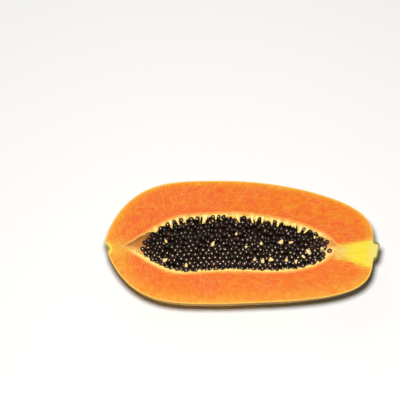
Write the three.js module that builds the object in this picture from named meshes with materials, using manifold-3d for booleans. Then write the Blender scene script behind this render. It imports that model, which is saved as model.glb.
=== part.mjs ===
// Half of a ripe papaya, cut lengthwise, lying on its round back with the cut face up.
// Millimetres. +X runs from the blossom end to the stem end, +Z points up out of the cut face,
// and the origin is the middle of the small flat spot that the fruit rests on.
// Lengths along the fruit are measured from the blossom end, and depths from the cut.
import * as THREE from "three";
import { mergeVertices } from "three/addons/utils/BufferGeometryUtils.js";
import Module from "manifold-3d";

const wasm = await Module();
wasm.setup();
const { Manifold } = wasm;

// The whole fruit, before it is cut
const LENGTH = 267;
const HALF_WIDTH = 63.5;
const DEPTH_RATIO = 0.96;
const WIDEST_AT = 115;
const BEND_STARTS = 135;
const BEND_REACH = 8.4;
const SHOULDER_SLANT = 3;
const SHOULDER_STARTS = 220;
const RIBS = 5;
const RIB_RISE = 0.012;
const FRUIT_STATIONS = 40;
const FRUIT_SIDES = 52;

// The flat spot that the fruit rests on, and how much of the round back it takes off
const FLAT_AT = 130;
const FLAT_SAG = 0.9;

// The seed cavity
const CAVITY_START = 17.5;
const CAVITY_LENGTH = 213.5;
const CAVITY_HALF_WIDTH = 29.8;
const CAVITY_DEPTH_RATIO = 0.93;
const CAVITY_STATIONS = 32;
const CAVITY_SIDES = 32;

// The stub of the stalk, as [distance past the shoulder, radius] from its root to its broken end
const STALK_PROFILE = [
  [-12, 8.5],
  [-2, 10.5],
  [1.5, 9.3],
  [5.2, 7.8],
  [7.4, 6.0],
];
const STALK_SLANT = 2.2;
const STALK_SIDES = 20;

// The pit that the blossom left, as [distance into the fruit, radius] from its mouth down
const PIT_PROFILE = [
  [-4, 5.1],
  [0.8, 3.2],
  [2.8, 1.3],
];
const PIT_OFF_AXIS = -6.1;
const PIT_SIDES = 12;

// The bed of seeds
const SEED_RADIUS = 2.8;
const SEED_SIZE_SPREAD = 0.07;
const SEED_SHOULDER = 0.66;
const SEED_PITCH = 5.7;
const SEED_ROW_PITCH = 4.8;
const SEED_CLOSEST = 5.25;
const SEED_JITTER = 1.4;
const SEED_LIFT = 0.7;
const SEEDS_START = 38;
const SEEDS_END = 224;
const BED_RIM_DEPTH = 3.6;
const BED_HOLLOW = 5.2;
const LEAST_DEPTH = 0.4;
const GAP_BELOW = 1.1;
const WALL_GAP = 0.35;
const EASING_ROUNDS = 12;
const FIRST_DRAW = 20731;

const FLESH_ORANGE = 0xf28a3c;
const SEED_BLACK = 0x1d1613;

// Repeatable random numbers from 0 to 1
function randomStream(first) {
  let state = first;
  return () => {
    state = (state * 48271) % 2147483647;
    return state / 2147483647;
  };
}

// A random number from -1 to 1
function swing(random) {
  return 2 * random() - 1;
}

// Half the fruit's width: an egg's end at the blossom, a long taper to a square shoulder at the stem
function girth(along) {
  if (along < WIDEST_AT) {
    return HALF_WIDTH * (1 - (1 - along / WIDEST_AT) ** 3.7) ** 0.72;
  }
  return HALF_WIDTH * (1 - ((along - WIDEST_AT) / (LENGTH - WIDEST_AT)) ** 1.75) ** 0.27;
}

// How far the fruit's axis has bent aside
function bend(along) {
  return -BEND_REACH * Math.max(0, (along - BEND_STARTS) / (LENGTH - BEND_STARTS)) ** 1.65;
}

// How far the shoulder leans on: out on the high side, back on the low side
function shoulderLean(along, sideways) {
  const share = Math.max(0, (along - SHOULDER_STARTS) / (LENGTH - SHOULDER_STARTS));
  return (SHOULDER_SLANT * Math.min(1, share) * sideways) / HALF_WIDTH;
}

// Half the cavity's width: a drawn-out point at the blossom end, a short one at the stem end
function cavityGirth(along) {
  const share = (along - CAVITY_START) / CAVITY_LENGTH;
  if (share <= 0 || share >= 1) return 0;
  if (share < 0.3) return CAVITY_HALF_WIDTH * Math.sin((Math.PI / 2) * (share / 0.3)) ** 1.2;
  if (share < 0.45) return CAVITY_HALF_WIDTH;
  return CAVITY_HALF_WIDTH * (1 - ((share - 0.45) / 0.55) ** 3.1) ** 0.65;
}

// The cavity's middle, which wanders off the fruit's own axis
function cavityMiddle(along) {
  return -4.1 - 0.006 * along + 5.6 * Math.exp(-(((along - 125) / 55) ** 2));
}

// How deep the seeds' middles lie, from -1 at the low rim to 1 at the high rim
function bedDepth(across) {
  return BED_RIM_DEPTH + BED_HOLLOW * Math.exp(-(((across - 0.3) / 0.55) ** 2));
}

// How deep the flat spot lies
function restDepth() {
  return DEPTH_RATIO * girth(FLAT_AT) - FLAT_SAG;
}

// A closed mesh's solid
function solidOf(geometry) {
  const bare = geometry.clone();
  bare.deleteAttribute("normal");
  bare.deleteAttribute("uv");
  const merged = mergeVertices(bare, 1e-4);
  return new Manifold(
    new wasm.Mesh({
      numProp: 3,
      vertProperties: merged.getAttribute("position").array,
      triVerts: new Uint32Array(merged.index.array),
    }),
  );
}

// A solid's mesh, with flat faces
function geometryOf(solid) {
  const { vertProperties, triVerts } = solid.getMesh();
  const geometry = new THREE.BufferGeometry();
  geometry.setAttribute("position", new THREE.BufferAttribute(vertProperties, 3));
  geometry.setIndex(new THREE.BufferAttribute(triVerts, 1));
  const flat = geometry.toNonIndexed();
  flat.computeVertexNormals();
  return flat;
}

// A body turned about a lengthwise axis and then shaped: place gives each point from its length
// along the axis, its radius and its angle
function turnedBody(profile, sides, place) {
  const geometry = new THREE.LatheGeometry(profile, sides);
  const position = geometry.getAttribute("position");
  for (let i = 0; i < position.count; i += 1) {
    const radius = Math.hypot(position.getX(i), position.getZ(i));
    const angle = Math.atan2(position.getX(i), position.getZ(i));
    position.setXYZ(i, ...place(position.getY(i), radius, angle));
  }
  return solidOf(geometry);
}

// A profile from one end of a body to the other, with its points closer together at the ends
function roundEndedProfile(start, length, stations, radiusAt) {
  return Array.from({ length: stations + 1 }, (_, i) => {
    const along = start + (length * (1 - Math.cos((Math.PI * i) / stations))) / 2;
    const isEnd = i === 0 || i === stations;
    return new THREE.Vector2(isEnd ? 0 : radiusAt(along), along);
  });
}

// The five soft ribs of the fruit, which fade out towards both ends
function ribSwell(along, angle) {
  return 1 + RIB_RISE * Math.sin((Math.PI * along) / LENGTH) * Math.cos(RIBS * angle);
}

function wholeFruit() {
  const profile = roundEndedProfile(0, LENGTH, FRUIT_STATIONS, girth);
  return turnedBody(profile, FRUIT_SIDES, (along, radius, angle) => {
    const out = radius * ribSwell(along, angle);
    const sideways = out * Math.cos(angle);
    const x = along + shoulderLean(along, sideways);
    return [x, bend(along) + sideways, DEPTH_RATIO * out * Math.sin(angle)];
  });
}

// The cavity, or the room inside it at a gap from its wall
function seedCavity(gap) {
  const profile = roundEndedProfile(
    CAVITY_START + gap,
    CAVITY_LENGTH - 2 * gap,
    CAVITY_STATIONS,
    (along) => Math.max(0.05, cavityGirth(along) - gap),
  );
  return turnedBody(profile, CAVITY_SIDES, (along, radius, angle) => [
    along,
    cavityMiddle(along) + radius * Math.cos(angle),
    CAVITY_DEPTH_RATIO * radius * Math.sin(angle),
  ]);
}

// A round body from [distance, radius] pairs, closed flat at both ends, with its axis along the
// fruit and off to one side. The slant is how far its end leans towards the high side.
function roundBody(pairs, start, offAxis, slant, sides) {
  const ends = [pairs[0], pairs[pairs.length - 1]];
  const profile = [[ends[0][0], 0], ...pairs, [ends[1][0], 0]].map(
    ([reach, radius]) => new THREE.Vector2(radius, start + reach),
  );
  const widest = Math.max(...pairs.map(([, radius]) => radius));
  return turnedBody(profile, sides, (along, radius, angle) => [
    along + (slant * (radius * Math.cos(angle) - widest)) / widest,
    offAxis + radius * Math.cos(angle),
    radius * Math.sin(angle),
  ]);
}

function stalkStub() {
  return roundBody(STALK_PROFILE, LENGTH, bend(LENGTH), STALK_SLANT, STALK_SIDES);
}

function blossomPit() {
  return roundBody(PIT_PROFILE, 0, PIT_OFF_AXIS, 0, PIT_SIDES);
}

// Everything between the cut and the plane of the rest spot
function slabBelowCut() {
  const slab = new THREE.BoxGeometry(2 * LENGTH, 4 * HALF_WIDTH, restDepth());
  slab.translate(LENGTH / 2, 0, -restDepth() / 2);
  return solidOf(slab);
}

function fleshAndSkin() {
  return wholeFruit()
    .add(stalkStub())
    .intersect(slabBelowCut())
    .subtract(seedCavity(0))
    .subtract(blossomPit());
}

// The lattice that the seeds are packed on, shaken and then eased apart. It runs past the cavity
// on every side, and only the places well inside the cavity hold a seed.
function seedLattice() {
  const random = randomStream(FIRST_DRAW);
  const halfRows = Math.ceil(CAVITY_HALF_WIDTH / SEED_ROW_PITCH) + 3;
  const columns = Math.floor((SEEDS_END - SEEDS_START) / SEED_PITCH) + 3;
  const lattice = [];
  for (let row = -halfRows; row <= halfRows; row += 1) {
    const line = [];
    for (let column = 0; column < columns; column += 1) {
      const place = column - (row % 2 === 0 ? 1 : 0.5);
      const x = SEEDS_START + place * SEED_PITCH + SEED_JITTER * swing(random);
      const y = cavityMiddle(x) + row * SEED_ROW_PITCH + SEED_JITTER * swing(random);
      line.push({ x, y, holdsSeed: insideCavity(x, y), lift: swing(random), size: swing(random) });
    }
    lattice.push(line);
  }
  const seeds = lattice.flat().filter((place) => place.holdsSeed);
  for (let round = 0; round < EASING_ROUNDS; round += 1) easeApart(seeds);
  for (const place of lattice.flat()) place.z = -bedDepth(acrossCavity(place.x, place.y));
  for (const seed of seeds) seed.z += SEED_LIFT * seed.lift;
  return lattice;
}

function acrossCavity(x, y) {
  const across = (y - cavityMiddle(x)) / Math.max(cavityGirth(x), 1);
  return Math.min(1, Math.max(-1, across));
}

function insideCavity(x, y) {
  const room = cavityGirth(x) - SEED_RADIUS - WALL_GAP;
  return x > SEEDS_START && x < SEEDS_END && Math.abs(y - cavityMiddle(x)) < room;
}

// Moves each two seeds that are too close apart by a quarter of what they lack, each way
function easeApart(seeds) {
  seeds.forEach((a, i) => {
    for (const b of seeds.slice(i + 1)) {
      const dx = b.x - a.x;
      const dy = b.y - a.y;
      const apart = Math.sqrt(dx * dx + dy * dy);
      if (apart >= SEED_CLOSEST) continue;
      const share = (SEED_CLOSEST - apart) / apart / 4;
      moveInside(a, -dx * share, -dy * share);
      moveInside(b, dx * share, dy * share);
    }
  });
}

function moveInside(seed, dx, dy) {
  if (!insideCavity(seed.x + dx, seed.y + dy)) return;
  seed.x += dx;
  seed.y += dy;
}

// The six lattice places round one, in order, with the shift of every second row
function neighbours(lattice, row, column) {
  const odd = Math.abs((row - (lattice.length - 1) / 2) % 2) === 1;
  const left = odd ? column : column - 1;
  return [
    lattice[row][column + 1],
    lattice[row + 1][left + 1],
    lattice[row + 1][left],
    lattice[row][column - 1],
    lattice[row - 1][left],
    lattice[row - 1][left + 1],
  ];
}

// One cell of the bed, between the six gaps round its place: a six-sided dome for a seed, or a
// plain fan where there is none
function bedCell(place, around) {
  const gaps = around.map((next, i) => {
    const after = around[(i + 1) % 6];
    return new THREE.Vector3(
      (place.x + next.x + after.x) / 3,
      (place.y + next.y + after.y) / 3,
      (place.z + next.z + after.z) / 3 - GAP_BELOW,
    );
  });
  if (!place.holdsSeed) return fan(new THREE.Vector3(place.x, place.y, place.z - GAP_BELOW), gaps);
  const radius = SEED_RADIUS * (1 + SEED_SIZE_SPREAD * place.size);
  const reach = SEED_SHOULDER * radius;
  const middle = new THREE.Vector3(place.x, place.y, place.z);
  const shoulder = gaps.map((gap) => {
    const out = new THREE.Vector3(gap.x - middle.x, gap.y - middle.y, 0).setLength(reach);
    return out.add(middle).setZ(middle.z + reach);
  });
  const top = middle.clone().setZ(Math.min(middle.z + radius, -LEAST_DEPTH));
  return [...fan(top, shoulder), ...band(shoulder, gaps)];
}

// Triangles from a middle to a ring round it
function fan(middle, ring) {
  return ring.flatMap((point, i) => [middle, point, ring[(i + 1) % ring.length]]);
}

// Triangles between an inner ring and an outer one with as many points
function band(inner, outer) {
  return inner.flatMap((point, i) => {
    const j = (i + 1) % inner.length;
    return [point, outer[i], outer[j], point, outer[j], inner[j]];
  });
}

// The bed of seeds down to below the cavity, before it is cut to the cavity's room
function bedBlock() {
  const lattice = seedLattice();
  const surface = [];
  for (let row = 1; row < lattice.length - 1; row += 1) {
    for (let column = 1; column < lattice[row].length - 1; column += 1) {
      surface.push(...bedCell(lattice[row][column], neighbours(lattice, row, column)));
    }
  }
  return solidOf(closedBelow(surface, -HALF_WIDTH));
}

// Closes a surface, given as triangles that face up, with walls and a floor at one depth
function closedBelow(surface, depth) {
  const nameOf = (point) => `${point.x.toFixed(4)},${point.y.toFixed(4)}`;
  const edges = new Map();
  const faces = [...surface];
  for (let i = 0; i < surface.length; i += 3) {
    const corners = surface.slice(i, i + 3);
    const floor = corners.map((point) => point.clone().setZ(depth));
    faces.push(floor[0], floor[2], floor[1]);
    corners.forEach((from, k) => {
      const to = corners[(k + 1) % 3];
      const back = `${nameOf(to)} ${nameOf(from)}`;
      if (!edges.delete(back)) edges.set(`${nameOf(from)} ${nameOf(to)}`, [from, to]);
    });
  }
  for (const [from, to] of edges.values()) {
    const fromFloor = from.clone().setZ(depth);
    const toFloor = to.clone().setZ(depth);
    faces.push(from, fromFloor, toFloor, from, toFloor, to);
  }
  return new THREE.BufferGeometry().setFromPoints(faces);
}

function seedBed() {
  return bedBlock().intersect(seedCavity(WALL_GAP));
}

function namedMesh(name, solid, color, roughness) {
  const material = new THREE.MeshStandardMaterial({ color, roughness, metalness: 0 });
  const mesh = new THREE.Mesh(geometryOf(solid), material);
  mesh.name = name;
  mesh.position.set(-FLAT_AT, 0, restDepth());
  return mesh;
}

const papaya = new THREE.Group();
papaya.add(namedMesh("papaya_half", fleshAndSkin(), FLESH_ORANGE, 0.45));
papaya.add(namedMesh("seeds", seedBed(), SEED_BLACK, 0.3));

export default papaya;
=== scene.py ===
# Half of a ripe papaya, cut lengthwise, on a pale floor under soft studio light.
# Lengths are in metres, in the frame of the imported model: +X runs to the stem end, +Z points up
# out of the cut face, and the origin is on the flat spot that the fruit rests on.
import math

import bmesh
import bpy
import numpy as np
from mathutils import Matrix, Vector, noise


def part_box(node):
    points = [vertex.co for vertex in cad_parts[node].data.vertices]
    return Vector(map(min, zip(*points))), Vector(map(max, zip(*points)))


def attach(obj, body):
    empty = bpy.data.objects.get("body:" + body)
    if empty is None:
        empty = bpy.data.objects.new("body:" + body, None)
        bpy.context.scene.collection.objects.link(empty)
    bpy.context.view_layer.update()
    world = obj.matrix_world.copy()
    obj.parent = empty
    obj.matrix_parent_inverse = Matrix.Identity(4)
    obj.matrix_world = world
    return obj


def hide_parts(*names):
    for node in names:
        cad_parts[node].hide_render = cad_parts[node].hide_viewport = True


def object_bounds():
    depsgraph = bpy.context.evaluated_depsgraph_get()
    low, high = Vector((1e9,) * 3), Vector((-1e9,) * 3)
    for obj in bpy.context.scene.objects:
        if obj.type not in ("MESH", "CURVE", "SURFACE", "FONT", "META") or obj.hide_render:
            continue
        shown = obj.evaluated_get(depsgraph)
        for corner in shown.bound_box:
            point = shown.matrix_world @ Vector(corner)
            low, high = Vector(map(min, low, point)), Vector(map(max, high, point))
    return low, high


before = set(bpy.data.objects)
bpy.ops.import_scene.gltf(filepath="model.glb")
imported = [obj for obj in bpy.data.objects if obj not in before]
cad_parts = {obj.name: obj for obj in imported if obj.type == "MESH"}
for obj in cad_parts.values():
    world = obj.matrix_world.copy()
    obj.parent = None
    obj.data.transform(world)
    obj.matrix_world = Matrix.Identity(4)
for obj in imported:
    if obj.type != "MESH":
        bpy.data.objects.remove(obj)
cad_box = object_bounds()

# The half fruit: skin, flesh, the pale lining of the seed cavity and the stub of the stalk grew as
# one piece and were cut with one stroke of a knife, so they are one closed mesh. Its outline,
# cavity, ribs and bend follow the same formulas as the solid that it replaces.
MM = 0.001
LENGTH = 267 * MM
HALF_WIDTH = 63.5 * MM
DEPTH_RATIO = 0.96
WIDEST_AT = 115 * MM
BEND_STARTS = 135 * MM
BEND_REACH = 8.4 * MM
SHOULDER_SLANT = 3 * MM
SHOULDER_STARTS = 220 * MM
RIBS = 5
RIB_RISE = 0.012
STALK_RADIUS = 10.5 * MM
STALK_END_RADIUS = 6 * MM
STALK_REACH = 7.4 * MM
STALK_SLANT = 2.2 * MM
PIT_DEPTH = 2.6 * MM
PIT_RADIUS = 3.4 * MM
PIT_OFF_AXIS = -6.1 * MM
CAVITY_START = 17.5 * MM
CAVITY_LENGTH = 213.5 * MM
CAVITY_HALF_WIDTH = 29.8 * MM
CAVITY_DEPTH_RATIO = 0.93
BODY_STATIONS = 230
STALK_STATIONS = 14
END_STATIONS = 6
STATIONS = BODY_STATIONS + STALK_STATIONS + END_STATIONS
SKIN_SIDES = 110
WALL_SIDES = 60
FACE_RINGS = 34
TISSUE_START = 212 * MM
TISSUE_RISE = 9 * MM
TISSUE_FILL = 0.72
LINING_RIPPLE = 0.55 * MM
LINING_RIPPLE_SIZE = 4 * MM
WALL_RIPPLE = 0.5 * MM
WALL_RIPPLE_SIZE = 5 * MM
SKIN_DENT = 0.35 * MM
SKIN_DENT_SIZE = 28 * MM
GAP_BATCHES = 40
JOINING_DISTANCE = 0.004 * MM
THINNEST_FACE = 0.001 * MM
CUT_EDGE_ANGLE = 40

node_low, node_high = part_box("papaya_half")
BLOSSOM_X = node_low[0]
CUT_Z = node_high[2]


# Half the fruit's width: an egg's end at the blossom, a long taper to a square shoulder
def girth(along):
    short = np.clip(along / WIDEST_AT, 0, 1)
    long = np.clip((along - WIDEST_AT) / (LENGTH - WIDEST_AT), 0, 1)
    blossom_half = (1 - (1 - short) ** 3.7) ** 0.72
    stem_half = (1 - long**1.75) ** 0.27
    return HALF_WIDTH * np.where(along < WIDEST_AT, blossom_half, stem_half)


def bend(along):
    return -BEND_REACH * np.clip((along - BEND_STARTS) / (LENGTH - BEND_STARTS), 0, 1) ** 1.65


# How far the shoulder leans on, out on the high side and back on the low side, down to nothing at
# the end of the stalk
def shoulder_lean(along, sideways):
    share = np.clip((along - SHOULDER_STARTS) / (LENGTH - SHOULDER_STARTS), 0, 1)
    left = np.clip((LENGTH + STALK_REACH - along) / STALK_REACH, 0, 1)
    return SHOULDER_SLANT * share * left * sideways / HALF_WIDTH


def cavity_girth(along):
    share = np.clip((along - CAVITY_START) / CAVITY_LENGTH, 0, 1)
    blossom_half = np.sin(math.pi / 2 * np.clip(share / 0.3, 0, 1)) ** 1.2
    stem_half = (1 - np.clip((share - 0.45) / 0.55, 0, 1) ** 3.1) ** 0.65
    return CAVITY_HALF_WIDTH * np.where(share < 0.35, blossom_half, stem_half)


def cavity_middle(along):
    return -4.1 * MM - 0.006 * along + 5.6 * MM * np.exp(-(((along - 125 * MM) / (55 * MM)) ** 2))


# Lengths from one end to the other, closer together at both ends
def eased_stations(start, length, count):
    return start + length * (1 - np.cos(np.linspace(0, math.pi, count))) / 2


# The profile of the fruit and its stalk, as the length and radius of each station
def fruit_profile():
    shoulder = LENGTH
    while girth(np.float64(shoulder)) < STALK_RADIUS:
        shoulder -= 0.02 * MM
    body = eased_stations(0, shoulder, BODY_STATIONS)
    body_radius = girth(body)
    share = np.linspace(0, 1, STALK_STATIONS + 1)[1:]
    stalk = shoulder + (LENGTH + STALK_REACH - shoulder) * share
    waist = 0.5 * MM * np.sin(2 * math.pi * share)
    stalk_radius = STALK_RADIUS + (STALK_END_RADIUS - STALK_RADIUS) * share**1.5 - waist
    end_radius = STALK_END_RADIUS * np.linspace(1, 0, END_STATIONS + 1)[1:]
    end = np.full(END_STATIONS, LENGTH + STALK_REACH)
    return (
        np.concatenate([body, stalk, end]),
        np.concatenate([body_radius, stalk_radius, end_radius]),
    )


# Smooth random numbers from -1 to 1 for an array of points, with lumps of one size
def lumps(points, size, seed=0):
    shift = Vector((seed * 7.3, seed * 3.1, seed * 5.7))
    flat = points.reshape(-1, 3)
    values = [noise.noise(Vector(point) / size + shift) for point in flat]
    return np.array(values).reshape(points.shape[:-1])


# The skin: stations along the fruit by angles from the high side's rim, under the fruit, to the
# low side's rim, flattened where it rests
def skin_points():
    along, radius = fruit_profile()
    angle = np.linspace(0, -math.pi, SKIN_SIDES + 1)
    swell = np.sin(math.pi * np.clip(along / LENGTH, 0, 1))[:, None] * np.cos(RIBS * angle)
    out = radius[:, None] * (1 + RIB_RISE * swell)
    x = along[:, None] + shoulder_lean(along[:, None], out * np.cos(angle))
    y = bend(along)[:, None] + out * np.cos(angle)
    z = DEPTH_RATIO * out * np.sin(angle)
    lean = out * np.cos(angle) / STALK_RADIUS - 1
    x = x + STALK_SLANT * lean * np.clip((x - LENGTH) / STALK_REACH, 0, 1)
    from_pit = np.hypot(y - PIT_OFF_AXIS, z) / PIT_RADIUS
    near_end = np.clip(1 - x / (12 * MM), 0, 1)
    x = x + PIT_DEPTH * np.exp(-(from_pit**2)) * near_end
    points = np.stack([x, y, z], axis=-1)
    inward = SKIN_DENT * (1 + lumps(points, SKIN_DENT_SIZE)) * np.sin(-angle) ** 0.5
    middle = np.stack([x, bend(along)[:, None] + 0 * y, 0 * z], axis=-1)
    toward = middle - points
    toward /= np.maximum(np.linalg.norm(toward, axis=-1, keepdims=True), 1e-6)
    points = points + toward * np.clip(inward, 0, None)[..., None]
    points[..., 2] = np.maximum(points[..., 2], -CUT_Z)
    return points


def smooth_step(value, low, high):
    share = np.clip((value - low) / (high - low), 0, 1)
    return share * share * (3 - 2 * share)


# The wall of the cavity, in the same layout, with the small swellings that the seeds hang on
def wall_points():
    along = eased_stations(CAVITY_START, CAVITY_LENGTH, STATIONS)
    angle = np.linspace(0, -math.pi, WALL_SIDES + 1)
    radius = cavity_girth(along)
    ripple = np.stack([along, cavity_middle(along) + radius, 0 * along], axis=-1)
    opposite = np.stack([along, cavity_middle(along) - radius, 0 * along], axis=-1)
    fade = np.clip(radius / (8 * MM), 0, 1)
    high = radius + LINING_RIPPLE * fade * lumps(ripple, LINING_RIPPLE_SIZE, 1)
    low = radius + LINING_RIPPLE * fade * lumps(opposite, LINING_RIPPLE_SIZE, 2)
    share = (1 - np.cos(angle)) / 2
    out = high[:, None] * (1 - share) + low[:, None] * share
    x = np.repeat(along[:, None], len(angle), axis=1)
    y = cavity_middle(along)[:, None] + out * np.cos(angle)
    shallow = 1 - TISSUE_FILL * smooth_step(along, TISSUE_START, TISSUE_START + TISSUE_RISE)
    z = (CAVITY_DEPTH_RATIO * shallow)[:, None] * out * np.sin(angle)
    points = np.stack([x, y, z], axis=-1)
    rough = WALL_RIPPLE * lumps(points, WALL_RIPPLE_SIZE, 3) * np.sin(-angle) * fade[:, None]
    points[..., 1] -= rough * np.cos(angle)
    points[..., 2] -= rough * np.sin(angle)
    return points


# A closed loop of a grid's two rims: along the high rim to the stem and back along the low one
def rim_loop(points):
    return np.concatenate([points[:, 0], points[::-1, -1]])


# The cut face: rings that go over from the fruit's outline to the cavity's rim, closer together
# at both
def cut_points(outline, rim):
    share = eased_stations(0, 1, FACE_RINGS)[:, None, None]
    return outline[None] * (1 - share) + rim[None] * share


# How far each point is from the nearest point of a loop, worked out in batches
def gap_to(points, loop):
    gaps = []
    for batch in np.array_split(points.reshape(-1, 1, 3), GAP_BATCHES):
        gaps.append(np.linalg.norm(batch - loop[None], axis=-1).min(axis=1))
    return np.concatenate(gaps).reshape(points.shape[:-1])


def grid_faces(rows, columns, start):
    index = start + np.arange(rows * columns).reshape(rows, columns)
    corners = [index[:-1, :-1], index[1:, :-1], index[1:, 1:], index[:-1, 1:]]
    return np.stack(corners, axis=-1).reshape(-1, 4)


# A mesh object from points in the fruit's own frame, which starts at the blossom end on the cut
def fruit_object(name, points, faces, attributes):
    placed = np.asarray(points) + [BLOSSOM_X, 0, CUT_Z]
    placed = np.clip(placed, list(cad_box[0]), list(cad_box[1]))
    mesh = bpy.data.meshes.new(name)
    mesh.from_pydata(placed.tolist(), [], [list(map(int, face)) for face in faces])
    for key, values in attributes.items():
        layer = mesh.attributes.new(key, "FLOAT", "POINT")
        layer.data.foreach_set("value", np.asarray(values, dtype=np.float32).ravel())
    piece = bpy.data.objects.new(name, mesh)
    bpy.context.scene.collection.objects.link(piece)
    return piece


# Joins points that coincide, turns the faces outward and keeps only real edges sharp
def finish_mesh(piece, sharp_angle):
    work = bmesh.new()
    work.from_mesh(piece.data)
    bmesh.ops.remove_doubles(work, verts=work.verts, dist=JOINING_DISTANCE)
    bmesh.ops.dissolve_degenerate(work, edges=work.edges, dist=THINNEST_FACE)
    bmesh.ops.recalc_face_normals(work, faces=work.faces)
    work.to_mesh(piece.data)
    work.free()
    piece.data.shade_smooth()
    piece.data.set_sharp_from_angle(angle=math.radians(sharp_angle))


# How much of the fibrous tissue between the cavity's tip and the stalk a point of the cut shows:
# it fans out towards the stalk, further on the low side
def stalk_flesh(points):
    x = points[..., 0]
    y = points[..., 1]
    high_edge = np.clip(0.2 * (x - 252 * MM), -3 * MM, 2.5 * MM)
    low_edge = -16 * MM - 0.4 * np.clip(x - 239 * MM, 0, None)
    above = 1 - smooth_step(y, high_edge - 4.5 * MM, high_edge + 6 * MM)
    below = smooth_step(y, low_edge - 8 * MM, low_edge + 6 * MM)
    return smooth_step(x, 223 * MM, 232 * MM) * above * below


# How much of the yellow flesh between the blossom scar and the cavity's tip
def blossom_flesh(points):
    x = points[..., 0]
    y = points[..., 1]
    width = 6.5 * MM + 0.25 * x
    return np.exp(-(((y - PIT_OFF_AXIS) / width) ** 2)) * (1 - smooth_step(x, 10 * MM, 34 * MM))


# How far in from the skin the yellow outer flesh reaches: furthest at the blossom end and on the
# low side
def outer_width(points):
    x = points[..., 0]
    low = smooth_step(points[..., 1], 10 * MM, -10 * MM)
    at_blossom = 1 - smooth_step(x, 4 * MM, 60 * MM)
    at_stem = smooth_step(x, 252 * MM, 264 * MM)
    return 8 * MM + 9 * MM * low + 7 * MM * at_blossom + 5 * MM * at_stem


skin = skin_points()
wall = wall_points()
outline = rim_loop(skin)
rim = rim_loop(wall)
cut = cut_points(outline, rim)
grids = [skin, cut, wall]
starts = [0, skin[..., 0].size, skin[..., 0].size + cut[..., 0].size]
faces = [grid_faces(*grid.shape[:2], start) for grid, start in zip(grids, starts)]
all_points = np.concatenate([grid.reshape(-1, 3) for grid in grids])
counts = [grid[..., 0].size for grid in grids]
skin_gap = [np.zeros(counts[0]), gap_to(cut, outline).ravel(), np.full(counts[2], HALF_WIDTH)]
seed_gap = [np.full(counts[0], HALF_WIDTH), gap_to(cut, rim).ravel(), np.zeros(counts[2])]
steps = np.linalg.norm(np.diff((outline + rim) / 2, axis=0), axis=-1)
round_cut = np.concatenate([[0], np.cumsum(steps)])
around = np.concatenate([np.zeros(counts[0]), np.tile(round_cut, FACE_RINGS), np.zeros(counts[2])])
papaya_half = fruit_object(
    "flesh_and_skin",
    all_points,
    np.concatenate(faces),
    {
        "skin_gap": np.concatenate(skin_gap),
        "seed_gap": np.concatenate(seed_gap),
        "stalk_flesh": stalk_flesh(all_points),
        "outer_width": outer_width(all_points),
        "around": around,
        "blossom_flesh": blossom_flesh(all_points),
    },
)

# Each face's finish, by its number: skin, cut flesh, lining, and the stalk's stub beyond the skin
STUB_FINISH = 3
finishes = np.concatenate([np.full(len(part), number) for number, part in enumerate(faces)])
centres = all_points[np.concatenate(faces)].mean(axis=1)
finishes[(finishes == 0) & (centres[:, 0] > LENGTH - 0.3 * MM)] = STUB_FINISH
papaya_half.data.polygons.foreach_set("material_index", finishes.astype(np.int32))


# One colour as linear red, green, blue and alpha, from its screen values up to 255
def screen_colour(red, green, blue):
    shares = [value / 255 for value in (red, green, blue)]
    linear = [((c + 0.055) / 1.055) ** 2.4 if c > 0.04045 else c / 12.92 for c in shares]
    return (*linear, 1)


def new_material(name, roughness):
    material = bpy.data.materials.new(name)
    material.use_nodes = True
    surface = material.node_tree.nodes["Principled BSDF"]
    surface.inputs["Roughness"].default_value = roughness
    return material, material.node_tree, surface


# Adds a node, and links or sets each of its inputs
def add_node(tree, kind, inputs, **settings):
    made = tree.nodes.new(kind)
    for key, value in settings.items():
        setattr(made, key, value)
    for key, value in inputs.items():
        if isinstance(value, bpy.types.NodeSocket):
            tree.links.new(value, made.inputs[key])
        else:
            made.inputs[key].default_value = value
    return made


def calculate(tree, operation, first, second=0.0):
    return add_node(tree, "ShaderNodeMath", {0: first, 1: second}, operation=operation).outputs[0]


def plus(tree, first, second):
    return calculate(tree, "ADD", first, second)


def times(tree, first, second):
    return calculate(tree, "MULTIPLY", first, second)


# Goes over smoothly from one pair of values to another
def remap(tree, value, from_low, from_high, to_low=0.0, to_high=1.0):
    inputs = {
        "Value": value,
        "From Min": from_low,
        "From Max": from_high,
        "To Min": to_low,
        "To Max": to_high,
    }
    made = add_node(tree, "ShaderNodeMapRange", inputs, interpolation_type="SMOOTHSTEP")
    return made.outputs["Result"]


def mix_colours(tree, share, first, second):
    inputs = {0: share, 6: first, 7: second}
    return add_node(tree, "ShaderNodeMix", inputs, data_type="RGBA").outputs[2]


# A value that the mesh carries at each of its points
def point_value(tree, name):
    return add_node(tree, "ShaderNodeAttribute", {}, attribute_name=name).outputs["Fac"]


# Places on the piece in the part's frame, stretched by a factor along each axis
def stretched_places(tree, factors=(1, 1, 1)):
    places = add_node(tree, "ShaderNodeTexCoord", {}).outputs["Object"]
    inputs = {"Vector": places, "Scale": factors}
    return add_node(tree, "ShaderNodeMapping", inputs).outputs["Vector"]


# The share, from 0 to 1, of the way between two lengths along the fruit from its blossom end
def between(tree, place, start, end):
    return remap(tree, place.outputs["X"], BLOSSOM_X + start, BLOSSOM_X + end)


def place_on_piece(tree):
    return add_node(tree, "ShaderNodeSeparateXYZ", {"Vector": stretched_places(tree)})


# A random pattern whose features are about size across
def pattern(tree, size, detail=3.0, factors=(1, 1, 1), distortion=0.0):
    inputs = {
        "Vector": stretched_places(tree, factors),
        "Scale": 1 / size,
        "Detail": detail,
        "Distortion": distortion,
    }
    return add_node(tree, "ShaderNodeTexNoise", inputs).outputs["Fac"]


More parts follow.
